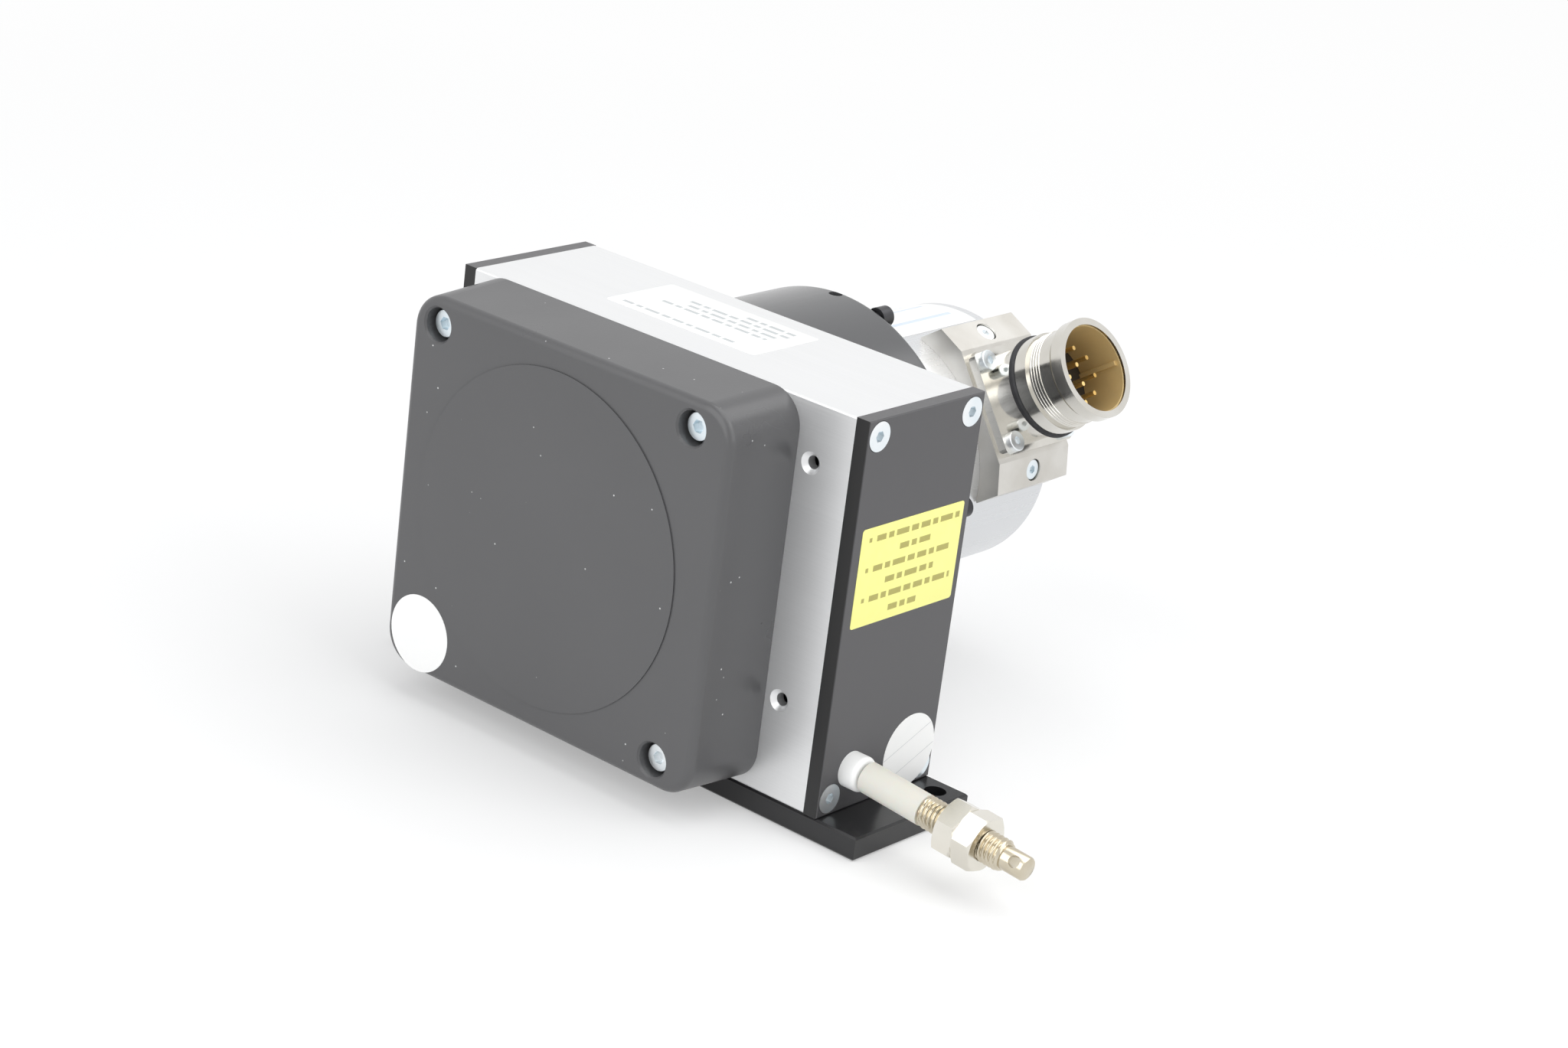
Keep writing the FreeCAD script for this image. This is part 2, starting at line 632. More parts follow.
# Spring cover: a moulded shell with corner bosses, a spring ring and ribs
def make_cover():
    """The black cover over the spring, open towards the housing."""
    body = new_body("SpringCover")
    left = "(Sizes.cover_centre_x - Sizes.cover_width/2)"
    right = "(Sizes.cover_centre_x + Sizes.cover_width/2)"
    low = "(%s - Sizes.cover_height/2)" % COVER_Z
    high = "(%s + Sizes.cover_height/2)" % COVER_Z
    shell = pad(body, sketch(body, "cover_outline", "XZ_Plane", [rectangle(left, right, low, high)]),
                "Sizes.cover_depth", draft="-Sizes.cover_draft")
    corners = fillet(body, shell, "Sizes.cover_corner_radius",
                     lambda edge: edge.BoundBox.YLength > size("cover_depth")/2)
    fillet(body, corners, "Sizes.cover_edge_radius", lambda edge: on_station(edge, "y", -size("cover_depth")))
    wall = "Sizes.cover_wall"
    inside = ("%s + %s" % (left, wall), "%s - %s" % (right, wall), "%s + %s" % (low, wall),
              "%s - %s" % (high, wall))
    hollow_out(body, "cover_cavity", inside, "(Sizes.cover_corner_radius - Sizes.cover_wall)",
               "Sizes.cover_depth - Sizes.cover_wall")
    bosses = sketch(body, "cover_bosses", "XZ_Plane",
                    circles=holes(cover_screw_points, "Sizes.cover_boss_radius"))
    pad(body, bosses, "Sizes.cover_depth - Sizes.cover_wall/2")
    ring = sketch(body, "spring_ring", "XZ_Plane", circles=[
        (AXIS_X, AXIS_Z, "Sizes.spring_ring_radius"),
        (AXIS_X, AXIS_Z, "Sizes.spring_ring_radius + Sizes.spring_ring_wall")],
        offset="Sizes.bearing_plate_thickness")
    pad(body, ring, "Sizes.cover_depth - Sizes.bearing_plate_thickness - Sizes.cover_wall/2")
    disc = sketch(body, "cover_disc", "XZ_Plane", circles=[(AXIS_X, AXIS_Z, "Sizes.cover_disc_radius")],
                  offset="Sizes.cover_depth - Sizes.cover_wall/2")
    pad(body, disc, "Sizes.cover_wall/2 + Sizes.cover_disc_step")
    bores = sketch(body, "cover_bores", "XZ_Plane", circles=holes(cover_screw_points,
                                                                  "Sizes.cover_bore_dia/2"),
                   offset="Sizes.cover_depth + Sizes.cover_disc_step")
    pocket(body, bores, "Sizes.cover_bore_depth + Sizes.cover_disc_step")
    pocket(body, sketch(body, "cover_screw_holes", "XZ_Plane",
                        circles=holes(cover_screw_points, hole_radius("Sizes.m4_dia"))), forward=True)
    chamfer(body, body.Tip, "Sizes.cover_bore_chamfer",
            lambda edge: is_ring(edge, size("cover_bore_dia")/2, "y", -size("cover_depth")))
    body.setExpression("Placement.Base.y", HOUSING_FRONT)
    return keep(body, "spring_cover")


def hollow_out(body, name, inside, radius, depth):
    """Cut a pocket with round corners from the back: two crossed slots and a circle in each corner."""
    left, right, low, high = inside
    near, far = "%s + %s" % (left, radius), "%s - %s" % (right, radius)
    under, over = "%s + %s" % (low, radius), "%s - %s" % (high, radius)
    pocket(body, sketch(body, name + "_wide", "XZ_Plane", [rectangle(left, right, under, over)]), depth,
           forward=True)
    pocket(body, sketch(body, name + "_tall", "XZ_Plane", [rectangle(near, far, low, high)]), depth,
           forward=True)
    corners = [(x, z, radius) for x in (near, far) for z in (under, over)]
    pocket(body, sketch(body, name + "_corners", "XZ_Plane", circles=corners), depth, forward=True)


# Drum side: bearing plate, rear bearing housing and their bearings
def make_bearing_plate():
    """The round plate that carries the front bearing in the housing's opening."""
    front = "(%s - Sizes.bearing_plate_thickness)" % HOUSING_FRONT
    seat_end = "(%s + Sizes.bearing_width)" % front
    boss_end = "(%s + Sizes.bearing_lip)" % seat_end
    body = turned_body("BearingPlate", [
        (BEARING_SEAT, front),
        ("Sizes.bearing_plate_radius", front),
        ("Sizes.bearing_plate_radius", HOUSING_FRONT),
        (BOSS_R, HOUSING_FRONT),
        (BOSS_R, boss_end),
        (BEARING_LIP_R, boss_end),
        (BEARING_LIP_R, seat_end),
        (BEARING_SEAT, seat_end),
    ])
    outline = sketch(body, "bearing_plate_holes", "XY_Plane",
                     circles=holes(mirrored(bearing_plate_ring), hole_radius("Sizes.m25_dia")),
                     offset=front)
    pocket(body, outline, forward=True)
    radius = size("m25_dia")/2 + size("fit_gap")
    station = -size("housing_depth")/2 - size("bearing_plate_thickness")
    chamfer(body, body.Tip, "((Sizes.m25_head_dia - Sizes.m25_dia)/2 + Sizes.head_rim)",
            lambda edge: is_ring(edge, radius, "z", station))
    turned_to(body, TO_REAR, AXIS_X, "0", AXIS_Z)
    return keep(body, "front_bearing_plate")


def mirrored(points):
    """Points of the housing's plane in the axes of a piece that points to the rear."""
    return [(x, "-(%s)" % z) for x, z in points]


def make_rear_bearing_housing():
    """The flanged boss that carries the rear bearing in the housing's rear wall."""
    rear = "(%s + Sizes.rear_flange_thickness)" % HOUSING_REAR
    seat_end = "(%s - Sizes.bearing_width)" % rear
    boss_end = "(%s - Sizes.bearing_lip)" % seat_end
    body = turned_body("RearBearingHousing", [
        (BEARING_SEAT, rear),
        (BEARING_SEAT, seat_end),
        (BEARING_LIP_R, seat_end),
        (BEARING_LIP_R, boss_end),
        (BOSS_R, boss_end),
        (BOSS_R, HOUSING_REAR),
        ("Sizes.rear_flange_radius", HOUSING_REAR),
        ("Sizes.rear_flange_radius", rear),
    ])
    outline = sketch(body, "rear_flange_holes", "XY_Plane",
                     circles=holes(mirrored(rear_flange_ring), hole_radius("Sizes.m3_dia")))
    pocket(body, outline, forward=True)
    radius = size("m3_dia")/2 + size("fit_gap")
    station = size("housing_depth")/2 + size("rear_flange_thickness")
    chamfer(body, body.Tip, "((Sizes.m3_countersunk_head_dia - Sizes.m3_dia)/2 + Sizes.head_rim)",
            lambda edge: is_ring(edge, radius, "z", station))
    turned_to(body, TO_REAR, AXIS_X, "0", AXIS_Z)
    return keep(body, "rear_bearing_housing")


def make_bearing(name, label, starts):
    """Shielded ball bearings, each a closed ring with sunk shields."""
    body = new_body(name)
    loops = []
    inner = "%s + Sizes.bearing_ring_wall" % SHAFT_RUN
    outer = "%s - Sizes.bearing_ring_wall" % BEARING_R
    for start in starts:
        end = "%s + Sizes.bearing_width" % start
        sunk_start = "%s + Sizes.bearing_shield_depth" % start
        sunk_end = "%s - Sizes.bearing_shield_depth" % end
        loops.append([
            (SHAFT_RUN, start), (inner, start), (inner, sunk_start), (outer, sunk_start), (outer, start),
            (BEARING_R, start), (BEARING_R, end), (outer, end), (outer, sunk_end), (inner, sunk_end),
            (inner, end), (SHAFT_RUN, end),
        ])
    turn_solid(body, sketch(body, name + "_profile", "XZ_Plane", loops))
    turned_to(body, TO_REAR, AXIS_X, "0", AXIS_Z)
    return keep(body, label)


# Drum, shaft and spring
def make_drum():
    """The wire drum: a rim with two lips, a web and a hub."""
    rim_out = "(Sizes.wire_wrap_radius - Sizes.wire_dia/2)"
    rim_in = "(%s - Sizes.drum_rim_wall)" % rim_out
    lip = drum_lip_radius()
    low = "(Sizes.wire_y - %s)" % WINDING_HALF
    high = "(Sizes.wire_y + %s)" % WINDING_HALF
    web_low = "(Sizes.wire_y + Sizes.drum_hub_length/3)"
    web_high = "(%s + Sizes.drum_web_thickness)" % web_low
    hub_low = "(Sizes.wire_y)"
    hub_high = "(Sizes.wire_y + Sizes.drum_hub_length)"
    thickness = "Sizes.drum_lip_thickness"
    body = turned_body("WireDrum", [
        (SHAFT_SEAT, hub_low), ("Sizes.drum_hub_radius", hub_low), ("Sizes.drum_hub_radius", web_low),
        (rim_in, web_low), (rim_in, "%s - %s" % (low, thickness)), (lip, "%s - %s" % (low, thickness)),
        (lip, low), (rim_out, low), (rim_out, high), (lip, high), (lip, "%s + %s" % (high, thickness)),
        (rim_in, "%s + %s" % (high, thickness)), (rim_in, web_high), ("Sizes.drum_hub_radius", web_high),
        ("Sizes.drum_hub_radius", hub_high), (SHAFT_SEAT, hub_high),
    ])
    turned_to(body, TO_REAR, AXIS_X, "0", AXIS_Z)
    return keep(body, "wire_drum")


def make_winding():
    """The wire's turns on the drum, one closed layer."""
    half = "(Sizes.wire_turns*Sizes.wire_pitch/2)"
    body = turned_body("WoundWire", [
        ("Sizes.wire_wrap_radius - Sizes.wire_dia/2", "Sizes.wire_y - %s" % half),
        ("Sizes.wire_wrap_radius + Sizes.wire_dia/2", "Sizes.wire_y - %s" % half),
        ("Sizes.wire_wrap_radius + Sizes.wire_dia/2", "Sizes.wire_y + %s" % half),
        ("Sizes.wire_wrap_radius - Sizes.wire_dia/2", "Sizes.wire_y + %s" % half),
    ])
    turned_to(body, TO_REAR, AXIS_X, "0", AXIS_Z)
    return keep(body, "wound_wire")


COVER_INSIDE = "(%s - Sizes.cover_depth + Sizes.cover_wall)" % HOUSING_FRONT
ARBOR_FRONT = "(%s + Sizes.arbor_gap)" % COVER_INSIDE
SPRING_FRONT = "(%s + Sizes.arbor_length/2 - Sizes.spring_width/2)" % ARBOR_FRONT
DRUM_SHAFT_END = "(%s + Sizes.rear_flange_thickness + Sizes.coupling_clear + Sizes.coupling_length/2" \
                 " - Sizes.shaft_end_gap/2)" % HOUSING_REAR
COUPLING_START = "(%s + Sizes.rear_flange_thickness + Sizes.coupling_clear)" % HOUSING_REAR


def make_shaft(name, label, start, end):
    """A plain shaft on the drum's axis with bevelled ends."""
    body = turned_body(name, [
        ("0", start), ("%s - Sizes.shaft_end_chamfer" % SHAFT_R, start),
        (SHAFT_R, "%s + Sizes.shaft_end_chamfer" % start), (SHAFT_R, "%s - Sizes.shaft_end_chamfer" % end),
        ("%s - Sizes.shaft_end_chamfer" % SHAFT_R, end), ("0", end),
    ])
    turned_to(body, TO_REAR, AXIS_X, "0", AXIS_Z)
    return keep(body, label)


def make_arbor():
    """The hub on the shaft that the spring hooks on to."""
    end = "(%s + Sizes.arbor_length)" % ARBOR_FRONT
    body = turned_body("SpringArbor", [
        (SHAFT_SEAT, ARBOR_FRONT), ("Sizes.arbor_radius", ARBOR_FRONT), ("Sizes.arbor_radius", end),
        (SHAFT_SEAT, end),
    ])
    turned_to(body, TO_REAR, AXIS_X, "0", AXIS_Z)
    return keep(body, "spring_arbor")


SPRING_ARCS_PER_TURN = 6


def make_spring():
    """The flat spiral spring, from just off the arbor to the cover's ring."""
    half = size("spring_thickness")/2
    coils = size("spring_coils")
    start = size("arbor_radius") + size("clearance_gap") + half
    end = size("spring_ring_radius") - size("clearance_gap") - half
    steps = 2*int(coils*SPRING_ARCS_PER_TURN)
    sides = []
    for side in (-half, half):
        points = []
        for i in range(steps + 1):
            share = i/steps
            radius = start + (end - start)*share + side
            turn = Rotation(Vector(0, 0, 1), 360*coils*share)
            points.append(turn.multVec(Vector(radius, 0, 0)))
        sides.append(points)
    edges = [Part.Arc(*points[i:i + 3]).toShape() for points in sides for i in range(0, steps, 2)]
    inner, outer = sides
    edges += [Part.makeLine(inner[0], outer[0]), Part.makeLine(inner[-1], outer[-1])]
    face = Part.Face(Part.Wire(Part.__sortEdges__(edges)))
    spring = doc.addObject("Part::Feature", "SpiralSpring")
    spring.Shape = face.extrude(Vector(0, 0, size("spring_width")))
    turned_to(spring, TO_REAR, AXIS_X, SPRING_FRONT, AXIS_Z)
    return keep(spring, "spiral_spring")


def make_coupling():
    """The slit coupling between the drum's shaft and the encoder's shaft."""
    start = COUPLING_START
    profile = [(SHAFT_SEAT, start), ("Sizes.coupling_radius", start)]
    for share in (0.4, 0.5, 0.6):
        middle = "%s + Sizes.coupling_length*%.1f" % (start, share)
        low = "%s - Sizes.coupling_slit/2" % middle
        high = "%s + Sizes.coupling_slit/2" % middle
        profile += [("Sizes.coupling_radius", low), ("Sizes.coupling_core_radius", low),
                    ("Sizes.coupling_core_radius", high), ("Sizes.coupling_radius", high)]
    end = "%s + Sizes.coupling_length" % start
    profile += [("Sizes.coupling_radius", end), (SHAFT_SEAT, end)]
    body = turned_body("ShaftCoupling", profile)
    turned_to(body, TO_REAR, AXIS_X, "0", AXIS_Z)
    return keep(body, "shaft_coupling")


# Encoder adapter and encoder
def make_adapter():
    """The bell between the housing and the encoder."""
    inner = "Sizes.adapter_radius - Sizes.adapter_wall"
    back = "%s - Sizes.adapter_back" % ADAPTER_REAR
    body = new_body("EncoderAdapter")
    bell = turn_solid(body, sketch(body, "adapter_profile", "XZ_Plane", [[
        (inner, HOUSING_REAR), ("Sizes.adapter_radius", HOUSING_REAR), ("Sizes.adapter_radius", ADAPTER_REAR),
        ("Sizes.pilot_radius + Sizes.fit_gap", ADAPTER_REAR), ("Sizes.pilot_radius + Sizes.fit_gap", back),
        (inner, back),
    ]]))
    rear = size("housing_depth")/2 + size("adapter_length")
    fillet(body, bell, "Sizes.adapter_edge_radius",
           lambda edge: is_ring(edge, size("adapter_radius"), "z", rear))
    pocket(body, sketch(body, "adapter_screw_bores", "XY_Plane",
                        circles=holes(mirrored(adapter_ring), hole_radius("Sizes.m3_dia"))), forward=True)
    grub = sketch(body, "grub_hole", "XZ_Plane", circles=[
        ("0", "%s - Sizes.adapter_back/2" % ADAPTER_REAR, "Sizes.grub_dia/2")])
    pocket(body, grub, forward=True)
    turned_to(body, TO_REAR, AXIS_X, "0", AXIS_Z)
    return keep(body, "encoder_adapter")


def make_grub_screw():
    """The socket set screw that clamps the encoder's pilot."""
    radius = "(Sizes.grub_dia/2 - Sizes.fit_gap)"
    body = turned_body("AdapterGrubScrew", [
        ("0", "0"), (radius, "0"), (radius, "Sizes.grub_length"), ("0", "Sizes.grub_length")])
    outline = sketch(body, "grub_key", "XY_Plane", [hexagon("Sizes.m3_countersunk_key")],
                     offset="Sizes.grub_length")
    pocket(body, outline, "Sizes.grub_length/3")
    turned_to(body, UPWARD, AXIS_X, "%s - Sizes.adapter_back/2" % ADAPTER_REAR,
              "%s + Sizes.pilot_radius + Sizes.fit_gap" % AXIS_Z)
    return keep(body, "adapter_grub_screw")


HUB_REAR = "(%s + Sizes.encoder_flange_thickness + Sizes.encoder_hub_length - Sizes.adapter_back)" % ADAPTER_REAR
FRONT_BEARING = "(%s - Sizes.adapter_back + Sizes.bearing_lip)" % ADAPTER_REAR
REAR_BEARING = "(%s - Sizes.bearing_width)" % HUB_REAR
DISC_START = "(%s + Sizes.swing_gap + Sizes.disc_hub_length)" % HUB_REAR
BOARD_START = "(%s + Sizes.disc_thickness + Sizes.board_gap)" % DISC_START


def make_encoder_flange():
    """The encoder's front casting: pilot, flange, cap spigot and bearing hub."""
    cap_in = "(Sizes.encoder_radius - Sizes.cap_wall - Sizes.fit_gap)"
    spigot_end = "%s + Sizes.encoder_spigot_length" % FLANGE_REAR
    pilot_start = "%s - Sizes.adapter_back" % ADAPTER_REAR
    body = turned_body("EncoderFlange", [
        (BEARING_LIP_R, pilot_start), ("Sizes.pilot_radius", pilot_start),
        ("Sizes.pilot_radius", ADAPTER_REAR),
        ("Sizes.encoder_radius", ADAPTER_REAR), ("Sizes.encoder_radius", FLANGE_REAR), (cap_in, FLANGE_REAR),
        (cap_in, spigot_end), (BOSS_R, spigot_end), (BOSS_R, HUB_REAR), (BEARING_SEAT, HUB_REAR),
        (BEARING_SEAT, FRONT_BEARING), (BEARING_LIP_R, FRONT_BEARING),
    ])
    turned_to(body, TO_REAR, AXIS_X, "0", AXIS_Z)
    return keep(body, "encoder_flange")


def make_encoder_cap():
    """The silver cup over the encoder, with the opening under the connector block."""
    inner = "(Sizes.encoder_radius - Sizes.cap_wall)"
    body = new_body("EncoderCap")
    turn_solid(body, sketch(body, "cap_profile", "XZ_Plane", [[
        (inner, FLANGE_REAR), ("Sizes.encoder_radius", FLANGE_REAR), ("Sizes.encoder_radius", ENCODER_REAR),
        ("0", ENCODER_REAR), ("0", "%s - Sizes.cap_wall" % ENCODER_REAR),
        (inner, "%s - Sizes.cap_wall" % ENCODER_REAR),
    ]]))
    rear = size("housing_depth")/2 + size("adapter_length") + size("encoder_length")
    fillet(body, body.Tip, "Sizes.cap_edge_radius", lambda edge: is_ring(edge, size("encoder_radius"), "z",
                                                                         rear))
    cable = sketch(body, "cable_opening", "XZ_Plane", circles=[("0", BLOCK_Y, "Sizes.block_bore_radius")],
                   turn="90 - Sizes.connector_angle")
    pocket(body, cable, forward=True)
    for side, name in ((1, "upper"), (-1, "lower")):
        hole = sketch(body, name + "_cap_hole", "XZ_Plane",
                      circles=[("%d*%s" % (side, FACET_OFFSET), BLOCK_Y, hole_radius("Sizes.m3_dia"))],
                      turn="(90 - Sizes.connector_angle)*1 deg + %d*%s" % (side, FACET_LEAN))
        pocket(body, hole, forward=True)
    turned_to(body, TO_REAR, AXIS_X, "0", AXIS_Z)
    return keep(body, "encoder_cap")


def make_code_disc():
    """The glass code disc on the end of the encoder's shaft."""
    body = turned_body("CodeDisc", [
        ("0", DISC_START), ("Sizes.disc_radius", DISC_START),
        ("Sizes.disc_radius", "%s + Sizes.disc_thickness" % DISC_START),
        ("0", "%s + Sizes.disc_thickness" % DISC_START),
    ])
    turned_to(body, TO_REAR, AXIS_X, "0", AXIS_Z)
    return keep(body, "code_disc")


def make_disc_hub():
    """The hub that carries the code disc."""
    start = "%s - Sizes.disc_hub_length" % DISC_START
    body = turned_body("DiscHub", [
        (SHAFT_SEAT, start), ("Sizes.disc_hub_radius", start), ("Sizes.disc_hub_radius", DISC_START),
        (SHAFT_SEAT, DISC_START),
    ])
    turned_to(body, TO_REAR, AXIS_X, "0", AXIS_Z)
    return keep(body, "disc_hub")


def make_encoder_board():
    """The round circuit board behind the code disc."""
    body = turned_body("EncoderBoard", [
        ("0", BOARD_START), ("Sizes.encoder_radius - Sizes.cap_wall - Sizes.swing_gap", BOARD_START),
        ("Sizes.encoder_radius - Sizes.cap_wall - Sizes.swing_gap",
         "%s + Sizes.board_thickness" % BOARD_START),
        ("0", "%s + Sizes.board_thickness" % BOARD_START),
    ])
    turned_to(body, TO_REAR, AXIS_X, "0", AXIS_Z)
    return keep(body, "encoder_board")


def make_board_pillars():
    """Three pillars that carry the board on the flange's spigot."""
    body = new_body("BoardPillars")
    start = "(%s + Sizes.encoder_spigot_length)" % FLANGE_REAR
    outline = sketch(body, "pillar_sections", "XY_Plane",
                     circles=holes(ring_of(3, "Sizes.pillar_circle", "0"), "Sizes.pillar_radius"),
                     offset=start)
    pad(body, outline, "%s - %s" % (BOARD_START, start))
    turned_to(body, TO_REAR, AXIS_X, "0", AXIS_Z)
    return keep(body, "board_pillars")


def make_scan_head():
    """The sensor block on the board, just off the code disc."""
    body = new_body("ScanHead")
    inner = "(Sizes.disc_radius - Sizes.scan_head_width)"
    outline = sketch(body, "scan_head_section", "XY_Plane", [rectangle(
        inner, "Sizes.disc_radius", "-Sizes.scan_head_width/2", "Sizes.scan_head_width/2")],
        offset="%s + Sizes.disc_thickness + Sizes.scan_head_gap" % DISC_START)
    pad(body, outline, "Sizes.board_gap - Sizes.scan_head_gap")
    turned_to(body, TO_REAR, AXIS_X, "0", AXIS_Z)
    return keep(body, "scan_head")


# Connector, all on one axis square to the encoder's
def along_connector(body, label):
    """Set a piece on the connector's axis, its Z axis outward from the drum's axis."""
    body.Placement = Placement(Vector(0, 0, 0), Rotation(Vector(0, 1, 0), 1))
    body.setExpression("Placement.Rotation.Angle", "90 - Sizes.connector_angle")
    body.setExpression("Placement.Base.x", AXIS_X)
    body.setExpression("Placement.Base.y", BLOCK_Y)
    body.setExpression("Placement.Base.z", AXIS_Z)
    return keep(body, label)


flange_screw_points = grid("2*Sizes.flange_screw_half", "2*Sizes.flange_screw_half")
FLANGE_FACE = "(Sizes.block_top + Sizes.flange_thickness)"
FACET_OUT = "((Sizes.block_top + Sizes.block_shoulder)/2)"
FACET_ACROSS = "((Sizes.block_half_width + Sizes.block_top_half_width)/2)"
FACET_RISE = "(Sizes.block_top - Sizes.block_shoulder)"
FACET_RUN = "(Sizes.block_half_width - Sizes.block_top_half_width)"
FACET_LEAN = "atan(%s/%s)" % (FACET_RISE, FACET_RUN)
FACET_OFFSET = "(%s*cos(%s) - %s*sin(%s))" % (FACET_ACROSS, FACET_LEAN, FACET_OUT, FACET_LEAN)
FACET_DISTANCE = "(%s*sin(%s) + %s*cos(%s))" % (FACET_ACROSS, FACET_LEAN, FACET_OUT, FACET_LEAN)
SHELL_END = "(Sizes.block_top + Sizes.barrel_length)"


def make_connector_block():
    """The saddle block on the encoder that carries the connector."""
    body = new_body("ConnectorBlock")
    outline = sketch(body, "block_outline", "XZ_Plane", [[
        ("-Sizes.block_half_width", "Sizes.block_foot"), ("Sizes.block_half_width", "Sizes.block_foot"),
        ("Sizes.block_half_width", "Sizes.block_shoulder"), ("Sizes.block_top_half_width", "Sizes.block_top"),
        ("-Sizes.block_top_half_width", "Sizes.block_top"),
        ("-Sizes.block_half_width", "Sizes.block_shoulder"),
    ]])
    pad(body, outline, "Sizes.block_length", both_ways=True)
    saddle = sketch(body, "block_saddle", "XZ_Plane",
                    circles=[("0", "0", "Sizes.encoder_radius + Sizes.fit_gap")])
    pocket(body, saddle, both_ways=True)
    bore = sketch(body, "block_bores", "XY_Plane",
                  circles=[("0", "0", "Sizes.block_bore_radius")]
                  + holes(flange_screw_points, hole_radius("Sizes.m3_dia")))
    pocket(body, bore, forward=True)
    for side, name in ((1, "upper"), (-1, "lower")):
        lean = "(%d*%s)" % (side, FACET_LEAN)
        across = "%d*%s" % (side, FACET_OFFSET)
        hole = sketch(body, name + "_facet_hole", "XY_Plane",
                      circles=[(across, "0", hole_radius("Sizes.m3_dia"))],
                      turn=lean)
        pocket(body, hole, forward=True)
        seat = sketch(body, name + "_facet_seat", "XY_Plane",
                      circles=[(across, "0", "Sizes.m3_cap_head_dia/2 + Sizes.clearance_gap")], turn=lean,
                      offset="%s - Sizes.facet_seat_depth" % FACET_DISTANCE)
        pocket(body, seat, forward=True)
    return along_connector(body, "connector_block")


def make_connector_shell():
    """The flanged receptacle: square flange, barrel, seal neck, collar and rim."""
    body = new_body("ConnectorShell")
    outline = sketch(body, "flange_outline", "XY_Plane", [rectangle(
        "-Sizes.flange_half", "Sizes.flange_half", "-Sizes.flange_half", "Sizes.flange_half")],
        offset="Sizes.block_top")
    plate = pad(body, outline, "Sizes.flange_thickness")
    fillet(body, plate, "Sizes.flange_corner_radius", lambda edge: runs_along(edge, "z"))
    neck_start = "(%s + Sizes.barrel_root_length)" % FLANGE_FACE
    neck_end = "(%s + Sizes.neck_length)" % neck_start
    collar_end = "(%s + Sizes.collar_length)" % neck_end
    rim_start = "(%s - Sizes.rim_length)" % SHELL_END
    groove_start = "(%s - Sizes.rim_groove_length)" % rim_start
    barrel = sketch(body, "barrel_profile", "XZ_Plane", [[
        ("0", FLANGE_FACE), ("Sizes.barrel_radius", FLANGE_FACE), ("Sizes.barrel_radius", neck_start),
        ("Sizes.neck_radius", neck_start), ("Sizes.neck_radius", neck_end), ("Sizes.collar_radius", neck_end),
        ("Sizes.collar_radius", collar_end), ("Sizes.barrel_radius", collar_end),
        ("Sizes.barrel_radius", groove_start), ("Sizes.neck_radius", groove_start),
        ("Sizes.neck_radius", rim_start),
        ("Sizes.rim_radius", rim_start), ("Sizes.rim_radius", SHELL_END), ("0", SHELL_END),
    ]])
    turn_solid(body, barrel)
    mouth = sketch(body, "socket_bore", "XY_Plane", circles=[("0", "0",
                                                              "Sizes.socket_radius - Sizes.insert_step")])
    pocket(body, mouth, forward=True)
    seat = sketch(body, "insert_seat", "XY_Plane", circles=[("0", "0", "Sizes.socket_radius")],
                  offset="Sizes.block_top + Sizes.insert_bottom")
    pocket(body, seat, forward=True)
    pocket(body, sketch(body, "flange_screw_holes", "XY_Plane",
                        circles=holes(flange_screw_points, hole_radius("Sizes.m3_dia"))), forward=True)
    return along_connector(body, "connector_shell")


def make_o_ring():
    """The black seal ring in the neck of the receptacle."""
    body = new_body("ConnectorORing")
    start = "(%s + Sizes.barrel_root_length)" % FLANGE_FACE
    low = "%s + (Sizes.neck_length - Sizes.oring_thickness)/2" % start
    high = "%s + Sizes.oring_thickness" % low
    inner = "Sizes.neck_radius + Sizes.fit_gap"
    outer = "%s + Sizes.oring_thickness" % inner
    cut = "Sizes.oring_thickness/4"
    turn_solid(body, sketch(body, "o_ring_profile", "XZ_Plane", [[
        (inner, low), ("%s - %s" % (outer, cut), low), (outer, "%s + %s" % (low, cut)),
        (outer, "%s - %s" % (high, cut)), ("%s - %s" % (outer, cut), high), (inner, high),
    ]]))
    return along_connector(body, "connector_o_ring")


def make_insert():
    """The black contact carrier inside the receptacle."""
    radius = "Sizes.socket_radius - Sizes.fit_gap"
    body = turned_body("ContactInsert", [
        ("0", "Sizes.block_top + Sizes.insert_bottom"), (radius, "Sizes.block_top + Sizes.insert_bottom"),
        (radius, "Sizes.block_top + Sizes.insert_face"), ("0", "Sizes.block_top + Sizes.insert_face"),
    ])
    return along_connector(body, "contact_insert")


def make_pins():
    """Twelve contact pins: nine on a ring and three inside it."""
    body = new_body("ContactPins")
    points = ring_of(9, "Sizes.pin_ring_radius") + ring_of(3, "Sizes.pin_core_radius", "30")
    outline = sketch(body, "pin_sections", "XY_Plane", circles=holes(points, "Sizes.pin_radius"),
                     offset="Sizes.block_top + Sizes.insert_face")
    pad(body, outline, "Sizes.pin_length")
    return along_connector(body, "contact_pins")


